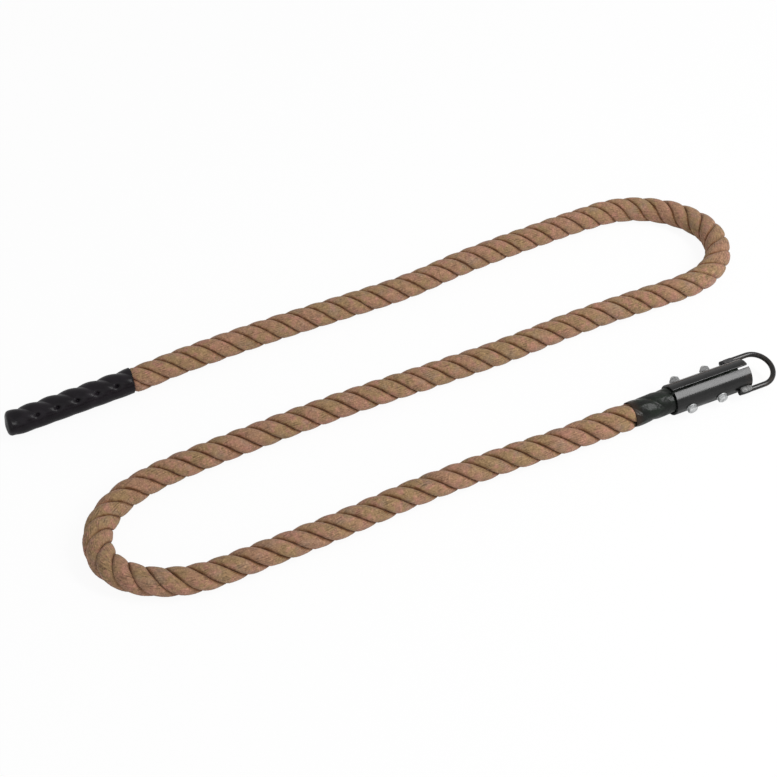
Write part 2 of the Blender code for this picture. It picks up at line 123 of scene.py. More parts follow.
class RopeSizes(bpy.types.PropertyGroup):
    """Sizes and colours of the laid rope."""

    diameter: metres("Diameter", "Rope's diameter over its strands", 0.038)
    strands: count("Strands", "Strands in the rope", 3)
    ring_step: metres("Ring step", "Distance between the mesh's rings", 0.004)
    strand_sides: count("Strand sides", "Faces across one strand", 28)
    axis_height: metres("Axis height", "Height of the lying centre line", 0.0186)
    bend_swell: number("Swell in bends", "Share by which the rope opens in its tightest bend", 0.07)
    end_swell: number("End swell", "Share by which the rope opens in front of the sleeve", 0.07)
    flat_strand: number("Flat strand", "How round the strands are near the cap", 0.135)
    full_strand: number("Full strand", "How round the strands are near the clamp", 0.250)
    yarns: count("Yarns", "Yarns counted round the rope", 36)
    fibre: tint("Fibre", "Main colour of the spun fibre", (0.355, 0.200, 0.122))
    fibre_olive: tint("Olive fibre", "Greener colour of some patches", (0.320, 0.205, 0.105))
    fibre_pink: tint("Pink fibre", "Redder colour of some patches", (0.410, 0.205, 0.146))
    fibre_grey: tint("Grey fibre", "Colour of the rubbed patches", (0.300, 0.215, 0.165))
    # Painted shade colour for the grooves, also used between the yarn ends of the cut end
    groove: tint("Groove", "Colour down between the strands", (0.150, 0.060, 0.019))


class CapSizes(bpy.types.PropertyGroup):
    """Sizes and colour of the end cap."""

    length: metres("Length", "Cap's length", 0.193)
    crest_radius: metres("Crest radius", "Radius over the ribs", 0.01981)
    relief: metres("Relief", "Depth between the ribs", 0.0033)
    bore_radius: metres("Bore radius", "Radius inside the mouth", 0.01531)
    lay_length: metres("Lay length", "Length in which a rib goes round once", 0.0908)
    lay_share: number("Lay share", "Where the ribs begin at the mouth, in shares of a rib", 0.726)
    mouth_lean: metres("Mouth lean", "How far the mouth's front edge lies back", 0.0016)
    tip_wall: metres("Tip wall", "Rubber past the rope's end", 0.0093)
    slant: degrees("Slant", "How far the tip leans", 8)
    slant_length: metres("Slant length", "Length in which the slant builds up", 0.030)
    slant_side: degrees("Slant side", "Turn of the tip's shorter side from the top", 48)
    tip_round: metres("Tip rounding", "Radius round the tip's edge", 0.008)
    tip_crown: metres("Tip crown", "Height of the tip's crowned face", 0.0016)
    pit_depth: metres("Pit depth", "Depth of the dents at the ends of the ribs", 0.0022)
    dish_depth: metres("Dish depth", "Depth of the wide hollow round a dent", 0.0015)
    tip_lift: metres("Tip lift", "How far the tip's lower front side is rounded up", 0.0030)
    rubber: tint("Rubber", "Colour of the rubber", (0.0070, 0.0055, 0.0072))


class ClampSizes(bpy.types.PropertyGroup):
    """Sizes and colours of the sleeve, the clamp and its bail."""

    sleeve_bare: metres("Bare sleeve", "Sleeve in front of the clamp", 0.066)
    sleeve_radius: metres("Sleeve radius", "Radius over the sleeve in the clamp", 0.0192)
    sleeve_wall: metres("Sleeve wall", "Thickness of the sleeve", 0.0009)
    sleeve_sag: metres("Sleeve sag", "How far the sleeve hangs to the lying rope", 0.0022)
    shell_length: metres("Shell length", "Length of the half shells", 0.129)
    shell_radius: metres("Shell radius", "Outer radius of the half shells", 0.022996)
    rope_end_inset: metres("Rope end inset", "From the shells' end to the rope's cut end", 0.0155)
    bar_radius: metres("Bar radius", "Radius of the bail's round bar", 0.004)
    leg_lap: metres("Leg lap", "Length of the bail's legs along the shells", 0.025)
    bail_reach: metres("Bail reach", "From the shells' end to the bend's centre", 0.020)
    weld_length: metres("Weld length", "Length of a weld bead", 0.019)
    thread_radius: metres("Thread radius", "Bolts' outer thread radius", 0.004)
    thread_pitch: metres("Thread pitch", "Distance between two turns", 0.00125)
    film: tint("Sleeve", "Colour of the sleeve", (0.0040, 0.0050, 0.0040))
    paint: tint("Paint", "Colour of the painted steel", (0.004, 0.004, 0.004))
    zinc: tint("Zinc", "Colour of the plated fasteners", (0.60, 0.61, 0.61))
    # Painted shade: the same zinc made darker for the far fasteners
    shaded_zinc: tint("Dark zinc", "Colour of the duller far fasteners", (0.27, 0.27, 0.27))
    # The near beads are light grey and the far beads dark grey, one weld metal in two colours
    near_weld_colour: tint("Bare weld", "Colour of the near beads", (0.24, 0.24, 0.237))
    painted_weld: tint("Painted weld", "Colour of the far beads", (0.060, 0.058, 0.058))


class StageSizes(bpy.types.PropertyGroup):
    """Camera, lamps and floor."""

    lens: number("Lens", "Focal length in millimetres", 72.23)
    camera_pitch: degrees("Camera pitch", "Angle below the horizon", 45)
    camera_turn: degrees("Camera turn", "Turn of the view to the right of +Y", 27.5)
    camera_place: FloatVectorProperty(
        name="Camera place", description="Where the camera stands", subtype="TRANSLATION",
        default=(-0.8095, -1.4185, 1.634))
    key_power: number("Key power", "Power of the large lamp", 72.0)
    fill_power: number("Fill power", "Power of the front lamp", 6.0)
    ambient: number("Ambient", "Strength of the pale surroundings", 0.5)
    floor_glow: number("Floor glow", "Share of plain white in the floor that the camera sees", 0.93)


class Shade:
    """A shader socket that takes part in sums, each of which adds a node."""

    def __init__(self, finish, socket):
        self.finish = finish
        self.socket = socket

    def out(self, name):
        """Return another output of the same node."""
        return Shade(self.finish, self.socket.node.outputs[name])

    def math(self, operation, *others):
        """Return the result of a Math node on this value and others."""
        values = [self, *others]
        return self.finish.add("ShaderNodeMath", {"operation": operation}, values)

    def __add__(self, other):
        return self.math("ADD", other)

    def __sub__(self, other):
        return self.math("SUBTRACT", other)

    def __rsub__(self, other):
        return self.finish.add("ShaderNodeMath", {"operation": "SUBTRACT"}, [other, self])

    def __mul__(self, other):
        return self.math("MULTIPLY", other)

    def __pow__(self, other):
        return self.math("POWER", other)

    __radd__ = __add__
    __rmul__ = __mul__

    def between(self, low, high):
        """Return nought below low, one above high, and an even step between."""
        settings = {"interpolation_type": "SMOOTHSTEP"}
        values = {"Value": self, "From Min": low, "From Max": high}
        return self.finish.add("ShaderNodeMapRange", settings, values).out("Result")


class Finish:
    """The node tree of a material, or of the world, under construction."""

    def __init__(self, name, kind="materials", shader="Principled BSDF"):
        self.result = getattr(bpy.data, kind).new(name)
        self.result.use_nodes = True
        self.tree = self.result.node_tree
        self.shader = self.tree.nodes[shader]

    def add(self, kind, settings=None, values=None):
        """Add a node, set it up, feed its inputs, and return its first output."""
        node = self.tree.nodes.new(kind)
        for key, value in (settings or {}).items():
            setattr(node, key, value)
        pairs = values.items() if isinstance(values, dict) else enumerate(values or [])
        for key, value in pairs:
            self.feed(node.inputs[key], value)
        return Shade(self, node.outputs[0])

    def feed(self, socket, value):
        """Link a shade to a socket, or set the socket's own value."""
        if isinstance(value, Shade):
            self.tree.links.new(value.socket, socket)
        elif socket.type == "RGBA" and len(value) == 3:
            socket.default_value = (*value, 1.0)
        else:
            socket.default_value = value

    def set(self, **values):
        """Set or link inputs of the main shader, with _ for a space in their names."""
        for key, value in values.items():
            self.feed(self.shader.inputs[key.replace("_", " ")], value)

    def object_place(self, matrix=None):
        """Return the object coordinates, in the space of a matrix if one is given."""
        place = self.add("ShaderNodeTexCoord").out("Object")
        if matrix is None:
            return place
        back = matrix.inverted()
        values = {"Vector": place, "Location": back.to_translation(), "Rotation": back.to_euler()}
        return self.add("ShaderNodeMapping", None, values)

    def stretched(self, place, scale):
        """Return coordinates scaled along each axis."""
        return self.add("ShaderNodeVectorMath", {"operation": "MULTIPLY"}, [place, scale])

    def noise(self, place, scale, detail=2.0, roughness=0.5, distortion=0.0):
        """Return a noise between nought and one."""
        values = {
            "Vector": place, "Scale": scale, "Detail": detail,
            "Roughness": roughness, "Distortion": distortion,
        }
        return self.add("ShaderNodeTexNoise", None, values).out("Fac")

    def blend(self, amount, first, second, kind="MIX"):
        """Return a mix of two colours."""
        settings = {"data_type": "RGBA", "blend_type": kind}
        # A Mix node has inputs and outputs for each data type, of which these are the colours
        return self.add("ShaderNodeMix", settings, {0: amount, 6: first, 7: second}).out(2)

    def bump(self, height, distance):
        """Raise the surface by a height in shares of a distance."""
        values = {"Height": height, "Distance": distance}
        self.set(Normal=self.add("ShaderNodeBump", None, values))


def rope_fibre(sizes):
    """Spun fibre: yarns along the rope, patches of colour, and painted shade in the grooves between
    strands.
    """
    finish = Finish("tan_spun_fibre")
    straight = finish.add("ShaderNodeAttribute", {"attribute_name": "straight"}).out("Vector")
    uv = finish.add("ShaderNodeUVMap", {"uv_map": "lay"})
    across = finish.add("ShaderNodeSeparateXYZ", None, [uv])
    turns = across.out("Y")

    # Painted shade in the grooves between the strands, less on the outside of the bends where the
    # strands lie flatter
    strand = across * sizes.strands
    from_crest = (strand.math("FRACT") - 0.5).math("ABSOLUTE") * 2.0
    uneven = finish.noise(straight, 120.0)
    groove = (from_crest + (uneven - 0.5) * 0.40).between(0.74, 0.98) * uneven.between(0.15, 0.50)
    worn = finish.add("ShaderNodeAttribute", {"attribute_name": "worn"}).out("Fac")
    groove = groove * (1.0 - worn * 0.85)
    # Painted shade on each strand's flanks towards the grooves
    flank_shade = from_crest.between(0.50, 1.0) * (1.0 - worn * 0.5)

    # Yarns, fibres along the rope, tufts, flecks and larger patches
    wander = finish.noise(finish.stretched(straight, (1.0, 1.0, 0.25)), 90.0)
    yarn_turn = (across - turns) * sizes.yarns + wander * 2.6
    shown = finish.noise(straight, 105.0).between(0.42, 0.62)
    yarn_gap = ((yarn_turn.math("FRACT") - 0.5).math("ABSOLUTE") * 2.0) ** 2.0 * shown
    fibres = finish.noise(finish.stretched(straight, (1.0, 1.0, 0.24)), 480.0, 4.0, 0.7)
    tufts = finish.noise(straight, 260.0, 4.0, 0.70)
    fibre_glints = finish.noise(straight, 430.0)
    patches = finish.noise(straight, 26.0, 3.0, 0.6)
    apart = finish.add("ShaderNodeVectorMath", None, [straight, (3.0, 5.0, 7.0)])
    blots = finish.noise(apart, 75.0, 3.0, 0.65)
    greying = finish.noise(finish.stretched(straight, (1.0, 1.0, 0.7)), 48.0, 3.0, 0.6)

    colour = finish.blend(patches.between(0.40, 0.60), sizes.fibre_olive, sizes.fibre)
    colour = finish.blend(blots.between(0.48, 0.66) * 0.85, colour, sizes.fibre_pink)
    colour = finish.blend(greying.between(0.50, 0.72) * 0.45, colour, sizes.fibre_grey)
    tone = 0.035 + fibres * 0.85 + tufts * 0.95 + (tufts - 0.5) * worn * 0.9
    # Painted highlights as bright flecks where fibres catch the light, and painted shade in the
    # lines between the yarns
    tone = tone + fibre_glints.between(0.52, 0.68) * 0.36 - yarn_gap * 0.30
    grey = finish.add("ShaderNodeCombineXYZ", None, [tone, tone, tone])
    colour = finish.blend(1.0, colour, grey, "MULTIPLY")
    # Painted shade on the strands' flanks
    colour = finish.blend(flank_shade * 0.20, colour, sizes.groove)
    # Painted shade down in the grooves
    colour = finish.blend(groove * 0.84, colour, sizes.groove)
    finish.set(
        Base_Color=colour,
        Roughness=0.82 + tufts * 0.15,
        Specular_IOR_Level=0.10,
        Sheen_Weight=0.16,
        Sheen_Roughness=0.45,
        Sheen_Tint=(0.86, 0.80, 0.86),
    )
    finish.bump(tufts * 0.55 + fibres * 0.45 - yarn_gap * 0.45, 0.0014)
    return finish.result


def cut_fibre(sizes):
    """The rope's cut end: packed yarn ends, with painted shade between them."""
    finish = Finish("cut_rope_fibre")
    place = finish.object_place(clamp_matrix())
    ends = finish.add("ShaderNodeTexVoronoi", None, {"Vector": place, "Scale": 420.0})
    spread = ends.out("Distance")
    fine = finish.noise(place, 1500.0, 3.0)
    # Painted shade between the yarn ends
    colour = finish.blend(spread.between(0.35, 0.75), sizes.fibre_pink, sizes.groove)
    colour = finish.blend(fine * 0.5, colour, sizes.fibre_olive)
    finish.set(Base_Color=colour, Roughness=0.95, Specular_IOR_Level=0.1)
    finish.bump((1.0 - spread) * 0.7 + fine * 0.3, 0.0012)
    return finish.result


def cap_rubber(sizes):
    """Black rubber with a fine grain and a slightly uneven bloom."""
    finish = Finish("black_moulded_rubber")
    place = finish.object_place()
    grain = finish.noise(place, 900.0, 3.0, 0.6)
    bloom = finish.noise(place, 60.0, 3.0, 0.55)
    scuff = finish.noise(finish.stretched(place, (0.35, 1.0, 1.0)), 240.0, 4.0, 0.7)
    lighter = tuple(part * 1.8 for part in sizes.rubber)
    colour = finish.blend(bloom.between(0.35, 0.70), sizes.rubber, lighter)
    colour = finish.blend(scuff.between(0.60, 0.80) * 0.4, colour, (0.035, 0.028, 0.033))
    finish.set(
        Base_Color=colour, Roughness=0.20 + bloom * 0.12 + grain * 0.06, Specular_IOR_Level=0.13)
    finish.bump(grain * 0.25 + scuff * 0.25 + bloom * 0.5, 0.0002)
    return finish.result


def sleeve_film(sizes):
    """Thin black sleeve, shrunk on: half gloss, with soft creases."""
    finish = Finish("black_shrunk_sleeve")
    place = finish.object_place(clamp_matrix())
    creases = finish.noise(finish.stretched(place, (0.5, 1.0, 1.0)), 95.0, 3.0, 0.55, 0.8)
    ripple = finish.noise(place, 330.0)
    dust = finish.noise(place, 1200.0)
    greener = (sizes.film[0] * 1.8, sizes.film[1] * 2.4, sizes.film[2] * 1.8)
    colour = finish.blend(creases.between(0.40, 0.65), sizes.film, greener)
    along = finish.add("ShaderNodeSeparateXYZ", None, [place]).out("X")
    at_rope = 1.0 - along.between(-sizes.sleeve_bare, 0.014 - sizes.sleeve_bare)
    colour = finish.blend(at_rope * 0.7, colour, (0.034, 0.017, 0.010))
    finish.set(
        Base_Color=colour, Roughness=0.20 + creases * 0.12 + dust * 0.06, Specular_IOR_Level=0.18)
    finish.bump(creases * 0.75 + ripple * 0.25, 0.0016)
    return finish.result


def black_paint(sizes):
    """Half-gloss black paint on steel, a little uneven, with brownish blotches near the bail's end.
    """
    finish = Finish("black_painted_steel")
    place = finish.object_place(clamp_matrix())
    peel = finish.noise(place, 700.0)
    cloud = finish.noise(place, 45.0, 3.0, 0.6)
    end_blotch = finish.noise(finish.stretched(place, (0.4, 1.0, 1.0)), 160.0, 4.0, 0.7)
    along = finish.add("ShaderNodeSeparateXYZ", None, [place]).out("X")
    at_end = along.between(0.110, 0.132)
    colour = finish.blend(cloud.between(0.35, 0.70), sizes.paint, (0.008, 0.008, 0.008))
    # Brownish blotches towards the bail's end
    colour = finish.blend(at_end * end_blotch.between(0.45, 0.70) * 0.5, colour, (0.060, 0.040, 0.030))
    finish.set(
        Base_Color=colour, Roughness=0.15 + cloud * 0.08 + peel * 0.05, Specular_IOR_Level=0.28)
    finish.bump(peel * 0.6 + end_blotch * 0.4, 0.00001)
    return finish.result


def zinc_plate(name, zinc):
    """Zinc plating, clouded and a little brushed by its tumbling."""
    finish = Finish(name)
    place = finish.object_place(clamp_matrix())
    cloud = finish.noise(place, 260.0, 3.0, 0.6)
    fine = finish.noise(place, 1800.0)
    duller = tuple(part * 0.6 for part in zinc)
    colour = finish.blend(cloud.between(0.35, 0.75), zinc, duller)
    finish.set(Base_Color=colour, Metallic=1.0, Roughness=0.38 + cloud * 0.18)
    finish.bump(fine * 0.5 + cloud * 0.5, 0.00012)
    return finish.result


def weld_metal(name, metal):
    """Weld metal: dull, with darker burnt patches and a fine grit."""
    finish = Finish(name)
    place = finish.object_place(clamp_matrix())
    burn = finish.noise(place, 330.0, 4.0, 0.65)
    grit = finish.noise(place, 1500.0, 3.0)
    burnt = tuple(part * 0.3 for part in metal)
    colour = finish.blend(burn.between(0.50, 0.75), metal, burnt)
    finish.set(Base_Color=colour, Metallic=0.4, Roughness=0.46 + burn * 0.2)
    finish.bump(burn * 0.5 + grit * 0.5, 0.0006)
    return finish.result


def cap_matrix():
    """Return the place of the cap's axis at its mouth, X along the rope."""
    height = Vector((0.0, 0.0, bpy.context.scene.rope_cap.crest_radius))
    return Matrix.Translation(CAP_MOUTH + height) @ Matrix.Rotation(CAP_TURN, 4, "Z")


def clamp_matrix():
    """Return the place of the clamp's axis at its mouth, X to the bail and Y to the far side."""
    height = Vector((0.0, 0.0, bpy.context.scene.rope_clamp.shell_radius))
    turn = Matrix.Rotation(CLAMP_TURN, 4, "Z") @ Matrix.Rotation(CLAMP_ROLL, 4, "X")
    return Matrix.Translation(CLAMP_MOUTH + height) @ turn


def catmull(points, steps):
    """Return points on a smooth curve through the given ones."""
    padded = [points[0] * 2 - points[1], *points, points[-1] * 2 - points[-2]]
    curve = []
    for before, start, end, after in zip(padded, padded[1:], padded[2:], padded[3:]):
        for step in range(steps):
            t = step / steps
            curve.append(
                0.5 * (2 * start + (end - before) * t
                       + (2 * before - 5 * start + 4 * end - after) * t ** 2
                       + (3 * start - before - 3 * end + after) * t ** 3)
            )
    curve.append(points[-1])
    return curve


def evenly(points, step):
    """Return points a fixed distance apart along a line, and their distances from its start."""
    lengths = [0.0]
    for start, end in zip(points, points[1:]):
        lengths.append(lengths[-1] + (end - start).length)
    spans = round(lengths[-1] / step)
    even, marks, index = [], [], 0
    for span in range(spans + 1):
        mark = lengths[-1] * span / spans
        while index < len(points) - 2 and lengths[index + 1] < mark:
            index += 1
        share = (mark - lengths[index]) / (lengths[index + 1] - lengths[index])
        even.append(points[index].lerp(points[index + 1], min(share, 1.0)))
        marks.append(mark)
    return even, marks


def sleeve_sag(x):
    """Return how far the sleeve hangs below the clamp's axis, x from the mouth."""
    sizes = bpy.context.scene.rope_clamp
    share = min(max(-x / sizes.sleeve_bare, 0.0), 1.4)
    return sizes.sleeve_sag * share ** 1.5


def sleeve_axis(x):
    """Return the sleeve's centre, x from the clamp's mouth."""
    return clamp_matrix() @ Vector((x, 0.0, 0.0)) - Vector((0.0, 0.0, sleeve_sag(x)))


def rope_line():
    """Return the rope's centre line in even steps, from deep in the cap to inside the sleeve."""
    rope = bpy.context.scene.rope_look
    cap = bpy.context.scene.rope_cap
    clamp = bpy.context.scene.rope_clamp
    inner = cap.length - cap.tip_wall
    place = cap_matrix()
    start = [place @ Vector((x, 0.0, 0.0)) for x in (-inner, -inner / 2, 0.0, rope.diameter / 2)]
    middle = [Vector((x, y, rope.axis_height + lift)) for x, y, lift in ROUTE]
    edge = -clamp.sleeve_bare
    end = [sleeve_axis(edge - rope.diameter * back) for back in (2, 1, 0, -UNDER_SLEEVE)]
    return evenly(catmull(start + middle + end, 24), rope.ring_step)


def interpolate(table, place):
    """Return a value between the entries of a table of places and values."""
    for (low, start), (high, end) in zip(table, table[1:]):
        if place <= high:
            return start + (end - start) * (place - low) / (high - low)
    return table[-1][1]


def strand_turns(marks):
    """Return how far the strands have turned at each of the line's marks."""
    turns = [LAY_START]
    for start, end in zip(marks, marks[1:]):
        turns.append(turns[-1] + (end - start) / interpolate(LAY_LENGTHS, (start + end) / 2))
    return turns


def strand_reach(share, fullness, pressed):
    """Return a strand's reach as a share of the rope's radius, from its crest to the groove."""
    return 1.0 - (fullness * share ** 2 + 0.13 * share ** 10) * (1.0 - pressed)


def bend_turn(line, index):
    """Return how the line bends: a vector to the bend's inside, one long in the tightest bend."""
    rings, tightest = 12, 0.55
    before, after = max(index - rings, 0), min(index + rings, len(line) - 1)
    start = (line[index] - line[before]).normalized() if index > before else Vector()
    end = (line[after] - line[index]).normalized() if after > index else Vector()
    if not start.length or not end.length:
        return Vector()
    turn = (end - start) / tightest
    return turn / max(turn.length, 1.0)


def rope_radius(mark, total, bend):
    """Return the rope's radius: drawn in under the cap and the sleeve, and opened in its bends."""
    rope = bpy.context.scene.rope_look
    cap = bpy.context.scene.rope_cap
    clamp = bpy.context.scene.rope_clamp
    full = rope.diameter / 2
    # Each of these goes from nought to one over some millimetres of the line
    past_mouth = mark - (cap.length - cap.tip_wall)
    in_cap = smooth((0.005 - past_mouth) / 0.013)
    to_edge = total - mark - UNDER_SLEEVE * rope.diameter
    in_sleeve = smooth((0.007 - to_edge) / 0.014)
    at_sleeve = smooth((0.110 - to_edge) / 0.060)
    squeezed = (cap.bore_radius - cap.pit_depth - cap.dish_depth) / full
    held = (clamp.sleeve_radius - 0.0022) / full
    free = 1.0 + rope.bend_swell * bend + rope.end_swell * at_sleeve
    return full * (free + (squeezed - free) * in_cap + (held - free) * in_sleeve)


def smooth(share):
    """Return an even step from nought to one."""
    share = min(max(share, 0.0), 1.0)
    return share * share * (3 - 2 * share)


def add_object(name, shape, material):
    """Make a bmesh an object of the scene."""
    mesh = bpy.data.meshes.new(name)
    shape.to_mesh(mesh)
    shape.free()
    mesh.materials.append(material)
    thing = bpy.data.objects.new(name, mesh)
    bpy.context.scene.collection.objects.link(thing)
    return thing


def finish_piece(name, shape, material, replaced, sharp):
    """Make a bmesh a piece that rides on the frame and stands for its nodes.

    Edges with a larger angle than sharp, in degrees, stay sharp.
    """
    piece = add_object(name, shape, material)
    piece.data.shade_smooth()
    piece.data.set_sharp_from_angle(angle=math.radians(sharp))
    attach(piece, "root")
    if replaced:
        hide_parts(*replaced)
    return piece


def put_on_clamp(shape):
    """Move a shape made along X, from the mouth on, to the clamp's place."""
    bmesh.ops.transform(shape, matrix=clamp_matrix(), verts=shape.verts)


def turned(profile, sides, closed=False):
    """Return a bmesh of a profile, given as X and radius, spun once round X."""
    shape = bmesh.new()
    verts = [shape.verts.new((x, 0.0, radius)) for x, radius in profile]
    following = verts[1:] + verts[:1] if closed else verts[1:]
    edges = [shape.edges.new(pair) for pair in zip(verts, following)]
    bmesh.ops.spin(
        shape, geom=verts + edges, cent=(0.0, 0.0, 0.0), axis=(1.0, 0.0, 0.0),
        angle=2 * math.pi, steps=sides, use_merge=True)
    bmesh.ops.remove_doubles(shape, verts=shape.verts, dist=MERGE)
    bmesh.ops.recalc_face_normals(shape, faces=shape.faces)
    return shape


class ROPE_OT_stage(bpy.types.Operator):
    """Set up the camera, the lamps, the surroundings and the floor."""

    bl_idname = "rope.stage"
    bl_label = "Stage"

    def execute(self, context):
        stage = context.scene.rope_stage
        camera = bpy.data.cameras.new("camera")
        camera.lens = stage.lens
        camera.sensor_width = 36.0
        camera.clip_end = 60.0
        viewer = bpy.data.objects.new("camera", camera)
        viewer.location = stage.camera_place
        viewer.rotation_euler = (math.pi / 2 - stage.camera_pitch, 0.0, -stage.camera_turn)
        context.scene.collection.objects.link(viewer)
        context.scene.camera = viewer
        context.scene.view_settings.view_transform = "Standard"

        self.add_lamp(context, "overhead_lamp", stage.key_power, (0.6, 2.4), (1.73, -1.46, 2.38))
        self.add_lamp(context, "front_lamp", stage.fill_power, (2.2, 2.2), (-1.6, -2.2, 1.3))
        self.add_surroundings(context, stage.ambient)
        self.add_floor(stage.floor_glow)
        return {"FINISHED"}

    def add_lamp(self, context, name, power, sizes, place):
        """Add a flat lamp that faces the middle of the rope, with its first size along X."""
        lamp = bpy.data.lights.new(name, "AREA")
        lamp.shape = "RECTANGLE"
        lamp.energy = power
        lamp.size, lamp.size_y = sizes
        thing = bpy.data.objects.new(name, lamp)
        back = Vector(place).normalized()
        length = back.cross(Vector((1.0, 0.0, 0.0))).normalized()
        thing.matrix_world = Matrix.Translation(place) @ Matrix(
            (length.cross(back), length, back)).transposed().to_4x4()
        context.scene.collection.objects.link(thing)

    def add_surroundings(self, context, ambient):
        """Make the world a plain pale room that the camera and reflections see as white."""
        room = Finish("pale_room", "worlds", "Background")
        path = room.add("ShaderNodeLightPath")
        mirrored = path.out("Is Glossy Ray").math("MAXIMUM", path.out("Is Transmission Ray"))
        seen = path.out("Is Camera Ray").math("MAXIMUM", mirrored)
        room.set(Color=(1.0, 1.0, 1.0), Strength=ambient + seen * (1.0 - ambient))
        context.scene.world = room.result

    def add_floor(self, white):
        """Add a wide white floor that keeps a soft shadow."""
        shape = bmesh.new()
        bmesh.ops.create_grid(shape, x_segments=1, y_segments=1, size=9.0)
        finish = Finish("white_floor")
        finish.set(Base_Color=(0.94, 0.94, 0.94), Roughness=0.9, Specular_IOR_Level=0.1)
        surface = Shade(finish, finish.shader.outputs[0])
        glow = finish.add("ShaderNodeEmission", None, {"Color": (1.0, 1.0, 1.0)})
        camera_ray = finish.add("ShaderNodeLightPath").out("Is Camera Ray")
        mix = finish.add("ShaderNodeMixShader", None, [camera_ray * white, surface, glow])
        finish.feed(finish.tree.nodes["Material Output"].inputs[0], mix)
        floor = add_object("floor", shape, finish.result)


class ROPE_OT_cap(bpy.types.Operator):
    """Mould the rubber cap: ribs that follow the strands, dents at their ends and a slanted tip."""

    bl_idname = "rope.cap"
    bl_label = "End cap"

    def execute(self, context):
        cap = context.scene.rope_cap
        inner_end = cap.tip_wall - cap.length
        shape = turned(self.profile(cap, inner_end), 144)
        for vert in shape.verts:
            radius = math.hypot(vert.co.y, vert.co.z)
            if radius > cap.bore_radius + MERGE or vert.co.x < inner_end - MERGE:
                self.mould(cap, vert.co, radius)
        bmesh.ops.transform(shape, matrix=cap_matrix(), verts=shape.verts)
        finish_piece("ribbed_cap", shape, cap_rubber(cap), ["end_cap"], 60)
        return {"FINISHED"}

    def profile(self, cap, inner_end):
        """Return the plain cap's profile, from the bore's end by the mouth to the tip's middle."""
        outer = cap.crest_radius
        face = outer - cap.tip_round
        body_end = cap.tip_round - cap.length
        depth = cap.tip_crown - cap.tip_round
        lip = 0.0010
        rows = 180
        corner = [math.pi / 2 * step / 10 for step in range(11)]
        # Behind its mouth the bore is narrow, so that the dents don't cut through to it
        inner_radius = cap.bore_radius - cap.pit_depth - cap.dish_depth + FIT
        return [
            (inner_end, 0.0), (inner_end, inner_radius), (-0.013, inner_radius),
            (-0.009, cap.bore_radius), (0.0, cap.bore_radius),
            (0.0, outer - lip), (-0.0003, outer - 0.0004), (-lip, outer),
            *((body_end - (lip + body_end) * (1 - row / rows), outer) for row in range(1, rows)),
            *((body_end + depth * math.sin(turn), face + cap.tip_round * math.cos(turn))
              for turn in corner),
            *((-cap.length + cap.tip_crown * share ** 2, face * share)
              for share in (0.8, 0.6, 0.4, 0.2, 0.0)),
        ]

    def mould(self, cap, co, radius):
        """Move a point of the plain cap to its place on the moulded one."""
        from_tip = co.x + cap.length
        if radius > MERGE:
            fade = smooth(from_tip / (1.6 * cap.tip_round))
            scale = 1.0 - self.rib_cut(cap, co.x, math.atan2(co.y, co.z)) * fade / radius
            co.y *= scale
            co.z *= scale
        # The tip's lower front side is rounded up
        across, up = 0.66, 0.75
        lowest = -(across * co.y + up * co.z) / cap.crest_radius
        lift = cap.tip_lift * smooth(lowest) * smooth(1 - from_tip / 0.024)
        co.y += across * lift
        co.z += up * lift
        # The tip's face leans, and so does the mouth
        raised = co.y * math.sin(cap.slant_side) + co.z * math.cos(cap.slant_side)
        co.x += max(0.0, 1 - from_tip / cap.slant_length) * raised * math.tan(cap.slant)
        co.x += smooth((co.x + 0.020) / 0.020) * cap.mouth_lean * (co.y + co.z) / cap.crest_radius

    def rib_cut(self, cap, x, angle):
        """Return how deep the surface lies below the crest at a place on the cap."""
        strands = bpy.context.scene.rope_look.strands
        turns = cap.lay_share / strands + x / cap.lay_length
        valley = 1 - abs(math.cos(math.pi * strands * (angle / (2 * math.pi) + turns)))
        # Between the seams, the front is nearly plain
        front = math.degrees(-angle) % 360
        plain = 0.85 * smooth((front - 46) / 16) * smooth((190 - front) / 40)
        cut = cap.relief * (valley * (1 - plain) + 0.34 * plain)
        # A dent is a small deep pit in a wide shallow dish, which lies a little to one side
        pit_radius, dish_length, dish_width = 0.0024, 0.0040, 0.0036
        fade = smooth((x + cap.length - 0.030) / 0.010)
        for seam in CAP_SEAMS:
            crossing = strands * (seam / (2 * math.pi) + turns) - 0.5
            along = (crossing - round(crossing)) * cap.lay_length / strands
            aside = math.remainder(angle - seam, 2 * math.pi) * cap.crest_radius
            pit = (along / pit_radius) ** 2 + (aside / pit_radius) ** 2
            dish = ((along + 0.0018) / dish_length) ** 2 + ((aside + 0.0004) / dish_width) ** 2
            cut += fade * (cap.pit_depth * math.exp(-pit) + cap.dish_depth * math.exp(-dish))
        return cut


